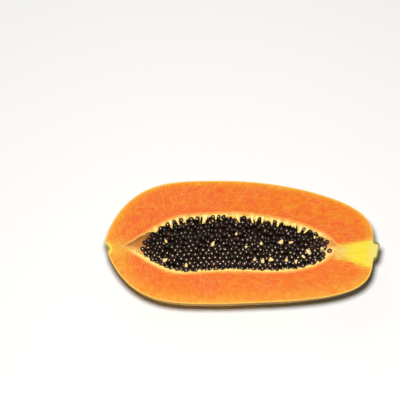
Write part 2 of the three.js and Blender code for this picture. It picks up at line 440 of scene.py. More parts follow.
# Lets light spread under the surface, by a share, further for red than for green and blue
def let_light_in(surface, share, spread, depth):
    surface.inputs["Subsurface Weight"].default_value = share
    surface.inputs["Subsurface Radius"].default_value = spread
    surface.inputs["Subsurface Scale"].default_value = depth


def add_bump(tree, surface, height, distance, strength=1.0):
    inputs = {"Height": height, "Distance": distance, "Strength": strength}
    made = add_node(tree, "ShaderNodeBump", inputs)
    tree.links.new(made.outputs["Normal"], surface.inputs["Normal"])


FLESH_DEEP = screen_colour(208, 76, 18)
FLESH_CORAL = screen_colour(212, 97, 28)
FLESH_ORANGE = screen_colour(212, 103, 0)
FLESH_OUTER = screen_colour(213, 125, 10)
FLESH_YELLOW = screen_colour(214, 146, 34)
FLESH_PALE = screen_colour(218, 136, 60)
SKIN_LINE = screen_colour(218, 176, 74)
LINING_CREAM = screen_colour(212, 186, 120)
LINING_EDGE = screen_colour(216, 152, 62)
BLOSSOM_YELLOW = screen_colour(211, 158, 40)
SCAR_YELLOW = screen_colour(214, 194, 72)
SCAR_GREEN = screen_colour(134, 124, 44)
STALK_YELLOW = screen_colour(218, 197, 36)
STALK_AMBER = screen_colour(216, 150, 34)
STALK_TAN = screen_colour(214, 172, 78)
STALK_PALE = screen_colour(212, 196, 106)
STALK_GREEN = screen_colour(112, 116, 44)
STALK_MIDDLE_Y = -BEND_REACH
FAN_TAN_ENDS = 233 * MM
FAN_YELLOW_STARTS = 247 * MM


# A random pattern of short fibres that run from the skin to the cavity
def fibre_pattern(tree, width, length, detail=3.0):
    across = calculate(tree, "DIVIDE", point_value(tree, "around"), width)
    inward = calculate(tree, "DIVIDE", point_value(tree, "skin_gap"), length)
    places = add_node(tree, "ShaderNodeCombineXYZ", {"X": across, "Y": inward}).outputs["Vector"]
    inputs = {"Vector": places, "Scale": 1.0, "Detail": detail, "Distortion": 0.6}
    return add_node(tree, "ShaderNodeTexNoise", inputs).outputs["Fac"]


# The cut flesh: orange with coral patches, redder at the cavity and yellower at the skin, with
# moist fibres and flecks, and yellow tissue at both ends
def flesh_material():
    material, tree, surface = new_material("papaya_flesh", 0.5)
    from_seeds = point_value(tree, "seed_gap")
    from_skin = point_value(tree, "skin_gap")
    place = place_on_piece(tree)
    along = place.outputs["X"]
    blotches = pattern(tree, 24 * MM, 4.0)
    mottle = pattern(tree, 6 * MM, 5.0, (1, 0.8, 1), 0.6)
    grain = pattern(tree, 1.3 * MM, 3.0)
    fibres = fibre_pattern(tree, 1.6 * MM, 6 * MM)
    patch = remap(tree, along, BLOSSOM_X, BLOSSOM_X + LENGTH, 0.08, -0.1)
    patch = remap(tree, plus(tree, blotches, patch), 0.4, 0.6)
    colour = mix_colours(tree, patch, FLESH_ORANGE, FLESH_CORAL)
    near = remap(tree, from_seeds, 13 * MM, 1 * MM)
    near = times(tree, near, remap(tree, mottle, 0.35, 0.6))
    colour = mix_colours(tree, times(tree, near, 0.6), colour, FLESH_DEEP)
    colour = mix_colours(tree, remap(tree, mottle, 0.46, 0.36, 0.0, 0.55), colour, FLESH_DEEP)
    colour = mix_colours(tree, remap(tree, mottle, 0.52, 0.66, 0.0, 0.6), colour, FLESH_OUTER)
    outer = calculate(tree, "DIVIDE", from_skin, point_value(tree, "outer_width"))
    outer = plus(tree, outer, remap(tree, mottle, 0.3, 0.7, -0.25, 0.25))
    colour = mix_colours(tree, remap(tree, outer, 1.0, 0.2), colour, FLESH_OUTER)
    colour = mix_colours(tree, remap(tree, outer, 0.5, 0.0, 0.0, 0.8), colour, FLESH_YELLOW)
    colour = mix_colours(tree, point_value(tree, "blossom_flesh"), colour, BLOSSOM_YELLOW)
    flecks = times(tree, remap(tree, fibres, 0.48, 0.7), remap(tree, grain, 0.4, 0.6))
    flecks = times(tree, flecks, remap(tree, patch, 0.0, 1.0, 0.5, 1.0))
    colour = mix_colours(tree, flecks, colour, FLESH_PALE)
    colour = mix_colours(tree, remap(tree, fibres, 0.46, 0.32, 0.0, 0.55), colour, FLESH_DEEP)
    edge = plus(tree, from_seeds, remap(tree, mottle, 0.3, 0.7, -0.4 * MM, 0.4 * MM))
    colour = mix_colours(tree, remap(tree, edge, 3.0 * MM, 0.6 * MM, 0.0, 0.9), colour, LINING_EDGE)
    colour = mix_colours(tree, remap(tree, edge, 0.4 * MM, 0.0), colour, LINING_CREAM)
    stalk = point_value(tree, "stalk_flesh")
    yellow = plus(tree, along, remap(tree, grain, 0.3, 0.7, -4 * MM, 4 * MM))
    yellow = remap(tree, yellow, BLOSSOM_X + FAN_TAN_ENDS, BLOSSOM_X + FAN_YELLOW_STARTS)
    strands = pattern(tree, 2.4 * MM, 4.0, (0.2, 1, 1), 0.8)
    fan = mix_colours(tree, yellow, STALK_TAN, STALK_YELLOW)
    fan = mix_colours(tree, remap(tree, strands, 0.5, 0.68, 0.0, 0.25), fan, STALK_AMBER)
    fan = mix_colours(tree, remap(tree, strands, 0.47, 0.32, 0.0, 0.6), fan, STALK_PALE)
    fan = mix_colours(tree, between(tree, place, 258 * MM, 270 * MM), fan, STALK_PALE)
    stalk = plus(tree, stalk, remap(tree, strands, 0.3, 0.7, -0.2, 0.2))
    colour = mix_colours(tree, remap(tree, stalk, 0.0, 0.5), colour, FLESH_YELLOW)
    colour = mix_colours(tree, remap(tree, stalk, 0.3, 0.85), colour, fan)
    scar = remap(tree, mottle, 0.35, 0.6, 0.6, 1.0)
    scar = times(tree, point_value(tree, "blossom_flesh"), scar)
    scar = times(tree, scar, between(tree, place, 10 * MM, 4 * MM))
    colour = mix_colours(tree, remap(tree, scar, 0.2, 0.65), colour, SCAR_YELLOW)
    on_stub = between(tree, place, 266 * MM, 268 * MM)
    off_middle = plus(tree, place.outputs["Y"], -STALK_MIDDLE_Y)
    off_middle = calculate(tree, "ABSOLUTE", off_middle)
    stub_side = times(tree, on_stub, remap(tree, off_middle, 5.5 * MM, 8 * MM))
    stub_side = times(tree, stub_side, remap(tree, from_skin, 3.6 * MM, 1.6 * MM))
    colour = mix_colours(tree, stub_side, colour, STALK_GREEN)
    skin_line = mix_colours(tree, on_stub, SKIN_LINE, STALK_GREEN)
    skin_line = mix_colours(tree, remap(tree, scar, 0.6, 0.8), skin_line, SCAR_GREEN)
    colour = mix_colours(tree, remap(tree, from_skin, 2.0 * MM, 0.7 * MM, 0.0, 0.9), colour, skin_line)
    tree.links.new(colour, surface.inputs["Base Color"])
    surface.inputs["Specular IOR Level"].default_value = 0.18
    let_light_in(surface, 0.1, (1.0, 0.4, 0.15), 2 * MM)
    add_bump(tree, surface, plus(tree, fibres, mottle), 0.5 * MM, 0.8)
    return material


LINING_TAN = screen_colour(206, 158, 88)
PAINTED_LINING_SHADE = screen_colour(44, 26, 14)
POCKET_TAN = screen_colour(192, 124, 64)
POCKET_YELLOW = screen_colour(226, 172, 88)
TISSUE_PEACH = screen_colour(232, 186, 104)
TISSUE_CREAM = screen_colour(232, 204, 134)


# The cavity's lining: moist cream tissue, with painted shade deep below the seeds, tan in the
# empty pocket at the blossom end, and peach where bare tissue fills the stem end, with painted
# shade on that tissue's high side
def lining_material():
    material, tree, surface = new_material("papaya_lining", 0.35)
    mottle = pattern(tree, 3 * MM, 4.0)
    place = place_on_piece(tree)
    colour = mix_colours(tree, remap(tree, mottle, 0.35, 0.65), LINING_CREAM, LINING_TAN)
    # Painted shade: the lining turns dark brown deep below the seeds, where little light reaches
    deep = remap(tree, place.outputs["Z"], CUT_Z - 4 * MM, CUT_Z - 8 * MM)
    deep = times(tree, deep, between(tree, place, 213 * MM, 207 * MM))
    colour = mix_colours(tree, deep, colour, PAINTED_LINING_SHADE)
    low_side = remap(tree, place.outputs["Y"], -1 * MM, -6 * MM)
    pocket = mix_colours(tree, low_side, POCKET_TAN, POCKET_YELLOW)
    colour = mix_colours(tree, between(tree, place, 50 * MM, 36 * MM), colour, pocket)
    inner = between(tree, place, 217 * MM, 225 * MM)
    tissue = mix_colours(tree, inner, TISSUE_CREAM, TISSUE_PEACH)
    # Painted shade: the high side of the bare tissue is tan for the shadow that the high rim casts
    shaded_high_side = remap(tree, place.outputs["Y"], -6 * MM, -2 * MM, 0.0, 0.8)
    tissue = mix_colours(tree, shaded_high_side, tissue, POCKET_TAN)
    tissue = mix_colours(tree, remap(tree, mottle, 0.42, 0.3, 0.0, 0.6), tissue, POCKET_TAN)
    colour = mix_colours(tree, between(tree, place, 210 * MM, 215 * MM), colour, tissue)
    tree.links.new(colour, surface.inputs["Base Color"])
    surface.inputs["Specular IOR Level"].default_value = 0.1
    let_light_in(surface, 0.2, (1.0, 0.6, 0.3), 2 * MM)
    add_bump(tree, surface, mottle, 0.5 * MM, 0.7)
    return material


SKIN_GOLD = screen_colour(216, 156, 40)
SKIN_OCHRE = screen_colour(192, 132, 24)
SKIN_OLIVE = screen_colour(132, 114, 24)
SKIN_GREEN = screen_colour(96, 98, 28)
SKIN_SPECK = screen_colour(70, 48, 16)
SKIN_SCAR = screen_colour(150, 112, 62)


# The skin: gold where it ripened first, olive towards the stalk and underneath, finely mottled,
# with small dark specks and a few corky scars under a waxy sheen
def skin_material():
    material, tree, surface = new_material("papaya_skin", 0.4)
    place = place_on_piece(tree)
    patches = pattern(tree, 75 * MM, 2.0, (0.6, 1, 1), 0.3)
    mottle = pattern(tree, 9 * MM, 5.0, (0.6, 1, 1))
    fine = pattern(tree, 2.2 * MM, 4.0)
    ripeness = plus(tree, patches, remap(tree, mottle, 0.3, 0.7, -0.09, 0.09))
    ripeness = plus(tree, ripeness, remap(tree, fine, 0.3, 0.7, -0.05, 0.05))
    stem_side = remap(tree, place.outputs["X"], BLOSSOM_X + 120 * MM, BLOSSOM_X + LENGTH, 0.0, 0.16)
    under = remap(tree, place.outputs["Z"], 34 * MM, 4 * MM, 0.0, 0.12)
    ripeness = plus(tree, plus(tree, ripeness, stem_side), under)
    colour = mix_colours(tree, remap(tree, ripeness, 0.38, 0.62), SKIN_GOLD, SKIN_OCHRE)
    colour = mix_colours(tree, remap(tree, ripeness, 0.54, 0.82), colour, SKIN_OLIVE)
    colour = mix_colours(tree, remap(tree, ripeness, 0.72, 0.98), colour, SKIN_GREEN)
    places = stretched_places(tree)
    dots = add_node(tree, "ShaderNodeTexVoronoi", {"Vector": places, "Scale": 1 / (5 * MM)})
    few = remap(tree, pattern(tree, 14 * MM, 2.0), 0.46, 0.6)
    specks = times(tree, remap(tree, dots.outputs["Distance"], 0.16, 0.06), few)
    colour = mix_colours(tree, times(tree, specks, 0.7), colour, SKIN_SPECK)
    corky = remap(tree, pattern(tree, 26 * MM, 6.0, (1, 1, 1), 2.0), 0.69, 0.74)
    colour = mix_colours(tree, times(tree, corky, 0.7), colour, SKIN_SCAR)
    tree.links.new(colour, surface.inputs["Base Color"])
    dull_scars = times(tree, corky, 0.3)
    waxy = plus(tree, remap(tree, fine, 0.3, 0.7, 0.48, 0.6), dull_scars)
    tree.links.new(waxy, surface.inputs["Roughness"])
    surface.inputs["Specular IOR Level"].default_value = 0.12
    relief = plus(tree, pattern(tree, 1.1 * MM, 2.0), times(tree, mottle, 2.0))
    relief = plus(tree, relief, times(tree, corky, 1.5))
    add_bump(tree, surface, relief, 0.2 * MM)
    return material


STALK_BROWN = screen_colour(112, 92, 46)


# The stub of the stalk: dull green, brown where it dried
def stalk_material():
    material, tree, surface = new_material("papaya_stalk", 0.65)
    grain = pattern(tree, 2.5 * MM, 5.0, (0.4, 1, 1))
    colour = mix_colours(tree, remap(tree, grain, 0.35, 0.65), STALK_GREEN, STALK_BROWN)
    tree.links.new(colour, surface.inputs["Base Color"])
    add_bump(tree, surface, grain, 0.6 * MM)
    return material


for material in (skin_material(), flesh_material(), lining_material(), stalk_material()):
    papaya_half.data.materials.append(material)
finish_mesh(papaya_half, CUT_EDGE_ANGLE)
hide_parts("papaya_half")
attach(papaya_half, "root")

# The cut edge of the lining: a soft cream ledge that grew along both rims of the cavity, with a
# thin apron just below it. Fingers of it reach in between the seeds, long ones on the high side
# and short ones on the low side.
SEEDS_START = 38 * MM
HIGH_LEDGE_SPAN = (34 * MM, 229 * MM)
LOW_LEDGE_SPAN = (20 * MM, 225 * MM)
HIGH_APRON_SPAN = (42 * MM, 224 * MM)
LOW_APRON_SPAN = (40 * MM, 219 * MM)
LEDGE_FADE = 7 * MM
POCKET_LEDGE = 0.3 * MM
POCKET_LEDGE_END = 44 * MM
LEDGE_STEP = 0.35 * MM
LEDGE_LUMPS = 0.95
LEDGE_LUMP_SIZE = 2.5 * MM
LEDGE_EDGE_ANGLE = 50
LEDGE_SHARES = 7
LEDGE_SUNK = 0.8 * MM
LEDGE_TOP = 0.3 * MM
LEDGE_HALF_THICKNESS = 1.1 * MM
LEDGE_DROP = 0.22
HIGH_LEDGE_REACH = 1.3 * MM
LOW_LEDGE_REACH = 1.8 * MM
BROAD_LEDGE_END = 78 * MM
BROAD_LEDGE_REACH = 1.2 * MM
HIGH_AMBER_WIDTH = 1.8 * MM
LOW_AMBER_WIDTH = 0.6 * MM
APRON_TOP = 0.8 * MM
APRON_DROP = 0.6
HIGH_APRON_REACH = 3.2 * MM
LOW_APRON_REACH = 3.0 * MM
FINGER_HALF_WIDTH = 1.15 * MM
LEAST_FINGER = 0.2
LOW_FINGER = 3.0 * MM
APRON_FINGER = 3.5 * MM
APRON_FINGER_STEP = 7.2 * MM
LOW_FINGER_STEP = 7.5 * MM
FIRST_FINGER_DRAW = 511
DRAW_FACTOR = 48271
DRAW_RANGE = 2147483647

# The long fingers on the high side, by length along the fruit, reach and half width, in mm
HIGH_FINGERS = [
    (50.5, 4.5, 1.4),
    (57.0, 2.5, 1.1),
    (64.5, 7.5, 1.6),
    (71.0, 6.0, 1.3),
    (78.5, 5.0, 1.3),
    (88.5, 3.0, 1.1),
    (99.5, 7.5, 2.3),
    (110.5, 4.0, 1.3),
    (121.0, 3.0, 1.1),
    (131.5, 7.0, 1.5),
    (146.5, 7.0, 1.4),
    (151.5, 5.0, 1.5),
    (157.5, 6.0, 1.3),
    (166.5, 6.0, 1.3),
    (173.5, 6.0, 1.5),
    (181.5, 3.5, 1.1),
    (189.5, 4.0, 1.3),
    (195.5, 7.0, 2.3),
    (202.5, 5.0, 1.3),
    (214.5, 3.5, 1.3),
]


# Repeatable random numbers from -1 to 1
def swing_stream(first):
    state = first
    while True:
        state = (state * DRAW_FACTOR) % DRAW_RANGE
        yield 2 * state / DRAW_RANGE - 1


# Points of one rim, and the direction from each into the cavity. The side is 1 for the high rim
# and -1 for the low one.
def rim_frame(along, side):
    def height(at):
        return cavity_middle(at) + side * cavity_girth(at)

    step = 0.5 * MM
    slope = (height(along + step) - height(along - step)) / (2 * step)
    inward = np.stack([side * slope, -side + 0 * slope], axis=-1)
    inward /= np.linalg.norm(inward, axis=-1, keepdims=True)
    return np.stack([along, height(along)], axis=-1), inward


# Fingers at uneven steps, as the place along the fruit, reach, half width and slant of each
def ledge_fingers(span, step, reach, swing):
    fingers = []
    place = max(span[0], SEEDS_START) + step / 2
    while place < span[1] - step:
        half_width = FINGER_HALF_WIDTH * (1.3 + 0.8 * next(swing))
        length = reach * (LEAST_FINGER + (1 - LEAST_FINGER) * next(swing) ** 2)
        fingers.append((place, length, half_width, 0.6 * next(swing)))
        place += step * (1 + 0.4 * next(swing))
    return fingers


# One ledge or apron as a closed strip with a rounded edge, which droops further the further it
# reaches. The last value of each point is its way in from the rim, as a share of the amber part.
def ledge(side, span, base_reach, fingers, top, drop):
    along = np.arange(*span, LEDGE_STEP)
    rim_points, inward = rim_frame(along, side)
    flat = np.stack([along, rim_points[:, 1], 0 * along], axis=-1)
    reach = base_reach * (1 + LEDGE_LUMPS * lumps(flat, LEDGE_LUMP_SIZE, 5 + side))
    slant = np.zeros_like(along)
    for place, length, half_width, lean in fingers:
        swell = np.exp(-(np.abs((along - place) / half_width) ** 4))
        reach += length * swell
        slant += lean * swell
    if side < 0:
        for end, more in ((BROAD_LEDGE_END, BROAD_LEDGE_REACH), (POCKET_LEDGE_END, POCKET_LEDGE)):
            reach += more * smooth_step(along, end + 4 * MM, end - 4 * MM)
    reach *= smooth_step(along, span[0], span[0] + LEDGE_FADE)
    reach *= smooth_step(along, span[1], span[1] - LEDGE_FADE)
    share = np.linspace(0, 1, LEDGE_SHARES + 1)
    half = LEDGE_HALF_THICKNESS * (1 - 0.45 * share) * np.sqrt(1 - share**8)
    share = np.concatenate([share, share[-2::-1]])
    half = np.concatenate([half, -half[-2::-1]])
    out = (reach[:, None] + LEDGE_SUNK) * share - LEDGE_SUNK
    sideways = slant[:, None] * np.clip(out - base_reach, 0, None)
    x = rim_points[:, :1] + inward[:, :1] * out + sideways
    y = rim_points[:, 1:] + inward[:, 1:] * out
    z = half - top - LEDGE_HALF_THICKNESS - drop * reach[:, None] * share**1.5
    amber_width = HIGH_AMBER_WIDTH if side > 0 else LOW_AMBER_WIDTH
    points = np.stack([x, y, z, out / amber_width], axis=-1)
    return np.concatenate([points, points[:, :1]], axis=1)


# Strips as one piece, with each strip closed at both ends
def ledge_object(name, strips):
    points = []
    faces = []
    count = 0
    for grid in strips:
        rows, columns = grid.shape[:2]
        points.append(grid.reshape(-1, 4))
        faces += grid_faces(rows, columns, count).tolist()
        faces.append(list(range(count, count + columns - 1)))
        last = count + (rows - 1) * columns
        faces.append(list(range(last, last + columns - 1)))
        count += rows * columns
    points = np.concatenate(points)
    piece = fruit_object(name, points[:, :3], faces, {"reach": points[:, 3]})
    finish_mesh(piece, LEDGE_EDGE_ANGLE)
    return piece


LEDGE_CREAM = screen_colour(244, 208, 120)
LEDGE_YELLOW = screen_colour(244, 214, 104)
LEDGE_TAN = screen_colour(240, 176, 84)
LEDGE_AMBER = screen_colour(234, 170, 72)


# Pale, moist tissue, amber at its root by a share, for the ledge and for the seeds that never grew
def pale_material(name, cream, amber_share):
    material, tree, surface = new_material(name, 0.35)
    mottle = pattern(tree, 5 * MM, 3.0)
    fine = pattern(tree, 0.9 * MM, 3.0)
    colour = mix_colours(tree, remap(tree, mottle, 0.55, 0.68, 0.0, 0.8), cream, LEDGE_YELLOW)
    colour = mix_colours(tree, remap(tree, mottle, 0.45, 0.34, 0.0, 0.8), colour, LEDGE_TAN)
    colour = mix_colours(tree, remap(tree, fine, 0.45, 0.3, 0.0, 0.5), colour, LEDGE_TAN)
    waver = remap(tree, mottle, 0.3, 0.7, -0.25, 0.25)
    reach = plus(tree, point_value(tree, "reach"), waver)
    colour = mix_colours(tree, remap(tree, reach, 1.0, 0.2, 0.0, amber_share), colour, LEDGE_AMBER)
    tree.links.new(colour, surface.inputs["Base Color"])
    let_light_in(surface, 0.2, (1.0, 0.6, 0.3), 1 * MM)
    surface.inputs["Specular IOR Level"].default_value = 0.15
    add_bump(tree, surface, fine, 0.25 * MM, 0.7)
    return material


swing = swing_stream(FIRST_FINGER_DRAW)
high_fingers = []
for finger in HIGH_FINGERS:
    high_fingers.append((*(MM * value for value in finger), 0.5 * next(swing)))
low_fingers = ledge_fingers(LOW_LEDGE_SPAN, LOW_FINGER_STEP, LOW_FINGER, swing)
high_cusps = ledge_fingers(HIGH_APRON_SPAN, APRON_FINGER_STEP, APRON_FINGER, swing)
ledges = (
    ledge(1, HIGH_LEDGE_SPAN, HIGH_LEDGE_REACH, high_fingers, LEDGE_TOP, LEDGE_DROP),
    ledge(-1, LOW_LEDGE_SPAN, LOW_LEDGE_REACH, low_fingers, LEDGE_TOP, LEDGE_DROP),
    ledge(1, HIGH_APRON_SPAN, HIGH_APRON_REACH, high_cusps, APRON_TOP, APRON_DROP),
    ledge(-1, LOW_APRON_SPAN, LOW_APRON_REACH, [], APRON_TOP, APRON_DROP),
)
lining_ledge = ledge_object("lining_ledge", ledges)
lining_ledge.data.materials.append(pale_material("ledge_tissue", LEDGE_CREAM, 1.0))
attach(lining_ledge, "root")

# The seeds: glossy, nearly black beads, each in its own jelly coat, packed into the cavity in
# layers. The top layer follows the solid's domes, and a looser layer fills in below it.
SEED_RADIUS = 2.8 * MM
SEED_PITCH = 5.7 * MM
SEED_ROW_PITCH = 4.8 * MM
SEED_CLOSEST = 5.25 * MM
SEED_JITTER = 1.4 * MM
SEED_LIFT = 0.7 * MM
SEEDS_END = 224 * MM
BED_RIM_DEPTH = 3.6 * MM
BED_HOLLOW = 5.2 * MM
WALL_GAP = 0.35 * MM
EASING_ROUNDS = 12
FIRST_DRAW = 20731
FIRST_SHINE_DRAW = 977
DIM_COAT_FROM = 0.45
HOLLOW_SIZE = 16 * MM
HOLLOW_DEPTH = 3 * MM
LOOSE_DEPTH = 1.7 * MM
LOOSE_SHIFT = 1.0 * MM
LOWER_LAYER_DROP = 3.9 * MM
SEED_SHAPE = np.array([1.14, 0.95, 0.95])
SIZE_SWING = 0.1


# Whether a seed at a place keeps clear of the cavity's wall
def inside_cavity(x, y, room_lost=SEED_RADIUS + WALL_GAP):
    room = float(cavity_girth(np.float64(x))) - room_lost
    return SEEDS_START < x < SEEDS_END and abs(y - float(cavity_middle(np.float64(x)))) < room


# From -1 at the cavity's low rim to 1 at its high rim
def across_cavity(x, y):
    half = max(float(cavity_girth(np.float64(x))), MM)
    return min(1, max(-1, (y - float(cavity_middle(np.float64(x)))) / half))


# How deep the bed's top lies, deepest a little to the high side of the middle
def bed_depth(across):
    return BED_RIM_DEPTH + BED_HOLLOW * math.exp(-(((across - 0.3) / 0.55) ** 2))


# Moves each two seeds that are too close apart by a quarter of what they lack, each way
def ease_apart(seeds):
    for i, one in enumerate(seeds):
        for other in seeds[i + 1 :]:
            dx = other[0] - one[0]
            dy = other[1] - one[1]
            apart = math.hypot(dx, dy)
            if apart >= SEED_CLOSEST:
                continue
            share = (SEED_CLOSEST - apart) / apart / 4
            for seed, sign in ((one, -1), (other, 1)):
                x = seed[0] + sign * dx * share
                y = seed[1] + sign * dy * share
                if inside_cavity(x, y):
                    seed[:2] = x, y


# The top layer of seeds, as [length along the fruit, place across it, depth, size] of each
def top_layer():
    swing = swing_stream(FIRST_DRAW)
    half_rows = math.ceil(CAVITY_HALF_WIDTH / SEED_ROW_PITCH) + 3
    columns = math.floor((SEEDS_END - SEEDS_START) / SEED_PITCH) + 3
    seeds = []
    for row in range(-half_rows, half_rows + 1):
        for column in range(columns):
            place = column - (1 if row % 2 == 0 else 0.5)
            x = SEEDS_START + place * SEED_PITCH + SEED_JITTER * next(swing)
            y = float(cavity_middle(np.float64(x))) + row * SEED_ROW_PITCH + SEED_JITTER * next(swing)
            lift = next(swing)
            size = next(swing)
            if inside_cavity(x, y):
                seeds.append([x, y, lift, size])
    for _ in range(EASING_ROUNDS):
        ease_apart(seeds)
    layer = []
    for x, y, lift, size in seeds:
        layer.append([x, y, bed_depth(across_cavity(x, y)) - SEED_LIFT * lift, size])
    return layer


# One unit ball of triangles, as its points and faces
def unit_ball(subdivisions):
    work = bmesh.new()
    bmesh.ops.create_icosphere(work, subdivisions=subdivisions, radius=1)
    points = np.array([vert.co[:] for vert in work.verts])
    faces = [[vert.index for vert in face.verts] for face in work.faces]
    work.free()
    return points, faces


# A turn about the upright axis and then a tip, both in radians
def turned(yaw, tip):
    cy, sy = math.cos(yaw), math.sin(yaw)
    ct, st = math.cos(tip), math.sin(tip)
    about_upright = np.array([[cy, -sy, 0], [sy, cy, 0], [0, 0, 1]])
    return about_upright @ np.array([[ct, 0, st], [0, 1, 0], [-st, 0, ct]])


# Many parts as one piece. Each part is its points, its faces and the values that mark it.
def joined_parts(name, parts):
    points = []
    faces = []
    marks = {key: [] for key in parts[0][2]}
    count = 0
    for part_points, part_faces, part_marks in parts:
        points.append(part_points)
        faces += [[corner + count for corner in face] for face in part_faces]
        for key, value in part_marks.items():
            marks[key].append(np.full(len(part_points), value))
        count += len(part_points)
    attributes = {key: np.concatenate(values) for key, values in marks.items()}
    piece = fruit_object(name, np.concatenate(points), faces, attributes)
    piece.data.shade_smooth()
    return piece


SEED_BLACK = screen_colour(20, 9, 9)
SEED_BROWN = screen_colour(58, 31, 24)
SEED_GREEN = screen_colour(30, 30, 18)
SEED_SHINE = (1, 0.79, 0.62, 1)
WET_ROUGHNESS = 0.32
DIM_ROUGHNESS = 0.5
WET_REFRACTION = 2.05
DIM_REFRACTION = 1.5


# A seed's coat, whose highlights are brighter the higher its refraction. The dim coat paints shade
# on the high side and on the lower layer, and is also given to some seeds at random.
def seed_material(name, refraction):
    material, tree, surface = new_material(name, WET_ROUGHNESS)
    dull = point_value(tree, "dull")
    roughness = remap(tree, dull, 0.0, 1.0, WET_ROUGHNESS, DIM_ROUGHNESS)
    tree.links.new(roughness, surface.inputs["Roughness"])
    tint = point_value(tree, "tint")
    colour = mix_colours(tree, remap(tree, tint, 0.86, 1.0, 0.0, 0.8), SEED_BLACK, SEED_BROWN)
    colour = mix_colours(tree, remap(tree, tint, 0.2, 0.0, 0.0, 0.8), colour, SEED_GREEN)
    tree.links.new(colour, surface.inputs["Base Color"])
    surface.inputs["IOR"].default_value = refraction
    surface.inputs["Specular Tint"].default_value = SEED_SHINE
    surface.inputs["Coat Weight"].default_value = 0.2
    surface.inputs["Coat Roughness"].default_value = 0.15
    add_bump(tree, surface, pattern(tree, 2.2 * MM, 2.0), 0.3 * MM, 0.6)
    return material


RIM_SEED_PITCH = 5.1 * MM
RIM_SEED_DEPTH = 3.2 * MM
RIM_SEED_INSET = 1.9 * MM
RIM_SEED_ROOM = 3.4 * MM
FINGER_COVER = 6 * MM


# A row of seeds that hangs on one rim, between places along the fruit, at the cut
def rim_row(side, base_reach, start, end, swing):
    count = max(1, round((end - start) / RIM_SEED_PITCH))
    row = []
    for number in range(count):
        along = start + (end - start) * (number + 0.5) / count + 0.5 * MM * next(swing)
        rim_point, inward = rim_frame(np.float64(along), side)
        inset = base_reach + RIM_SEED_INSET + 0.4 * MM * next(swing)
        x, y = rim_point + inward * inset
        row.append([float(x), float(y), RIM_SEED_DEPTH + 0.5 * MM * next(swing), next(swing) - 0.6])
    return row


# Both rims' seeds: one or two between each two long fingers, and an even row on the low side
def rim_seeds(swing):
    row = []
    for before, after in zip(high_fingers, high_fingers[1:]):
        if before[0] > SEEDS_START - 4 * MM and after[0] < SEEDS_END + 2 * MM:
            row += rim_row(1, HIGH_LEDGE_REACH, before[0], after[0], swing)
    broad_reach = LOW_LEDGE_REACH + BROAD_LEDGE_REACH
    row += rim_row(-1, broad_reach, SEEDS_START + 4 * MM, BROAD_LEDGE_END, swing)
    return row + rim_row(-1, LOW_LEDGE_REACH, BROAD_LEDGE_END, SEEDS_END - 14 * MM, swing)


def nearest_gap(x, y, places):
    return min(math.hypot(x - place[0], y - place[1]) for place in places)


# Moves the seeds of the rows away from those on the rims, and drops the ones with no room
def make_room(seeds, fixed):
    for seed in seeds * 3:
        for other in fixed:
            dx = seed[0] - other[0]
            dy = seed[1] - other[1]
            apart = math.hypot(dx, dy)
            if apart < SEED_CLOSEST:
                share = (SEED_CLOSEST - apart) / max(apart, 0.1 * MM) / 2
                seed[0] += dx * share
                seed[1] += dy * share
    return [seed for seed in seeds if nearest_gap(seed[0], seed[1], fixed) > RIM_SEED_ROOM]


# The seeds at the stem end, each by length along the fruit, place across it, depth and size
LONE_SEED = (224 * MM, -7.7 * MM, 2.9 * MM, 0.8)
STEM_SEEDS = [
    (221 * MM, 1.2 * MM, 3.2 * MM, -0.2),
    (218.8 * MM, -3.6 * MM, 3.4 * MM, 0.1),
    (217 * MM, -11 * MM, 3.4 * MM, -0.1),
    (216.4 * MM, -15.6 * MM, 3.3 * MM, -0.4),
    LONE_SEED,
]

# The pale, undeveloped seeds, which the black ones make room for, by length along the fruit, place
# across it, length and width, in mm, and turn in degrees
PALE_SEED_ROOM = 2.4 * MM
PALE_SEEDS = [
    (107.5, -0.5, 6.4, 3.4, 62),
    (130.8, 9.8, 3.4, 2.4, 80),
    (140.5, -3.7, 3.2, 2.6, 20),
    (155.5, 0.2, 4.0, 3.2, 100),
    (175.5, 1.6, 6.2, 4.0, 60),
    (185.5, 1.0, 5.0, 2.4, 10),
    (216.5, -5.2, 4.4, 3.6, 45),
    (202.8, -9.0, 7.0, 4.0, -62),
    (197.5, -13.9, 4.6, 2.8, -40),
    (149.5, -17.1, 5.2, 3.2, -25),
    (156.9, -18.0, 5.8, 3.2, 84),
    (165.5, -16.6, 5.2, 4.2, -15),
    (180.3, -17.4, 6.2, 3.4, 88),
    (189.8, -19.0, 5.2, 3.6, 55),
    (60.4, 2.4, 4.2, 2.4, 118),
    (59.8, -17.0, 6.2, 4.0, 30),
    (80.8, -22.4, 4.8, 3.2, 80),
]


def clear_of_pale_seeds(x, y):
    gaps = [math.hypot(x - along * MM, y - place * MM) for along, place, *_ in PALE_SEEDS]
    gaps.append(math.hypot(x - LONE_SEED[0], y - LONE_SEED[1]) - 2 * MM)
    return min(gaps) > PALE_SEED_ROOM


# The lower corner of the cavity's stem end shows bare tissue
def on_bare_tissue(x, y):
    return x > 217.5 * MM + 0.3 * (y + 8 * MM)


# How deep a seed must lie to pass under a long finger
def depth_under_fingers(x, y):
    for place, reach, half_width, lean in high_fingers:
        rim_point, inward = rim_frame(np.float64(place), 1)
        tip = rim_point + inward * (HIGH_LEDGE_REACH + reach)
        middles = [rim_point + (tip - rim_point) * share for share in (0.4, 0.7, 1.0)]
        if min(math.dist((x, y), middle) for middle in middles) < half_width + 1.2 * MM:
            return FINGER_COVER
    return 0


# A seed's depth in the bed: looser and with hollows in the middle, under the fingers and over the
# bare tissue, and always below the cut
def settled_depth(x, y, depth, radius, loose, swing):
    hollow = max(0, 2 * float(lumps(np.array([x, y, 0]), HOLLOW_SIZE, 8)))
    sunk = loose * (LOOSE_DEPTH * next(swing) + HOLLOW_DEPTH * hollow)
    depth = max(depth + sunk, depth_under_fingers(x, y))
    depth = min(depth, RIM_SEED_DEPTH + 0.6 * max(0, TISSUE_START + 7 * MM - x))
    return max(depth, radius * 1.12 + 0.3 * MM)
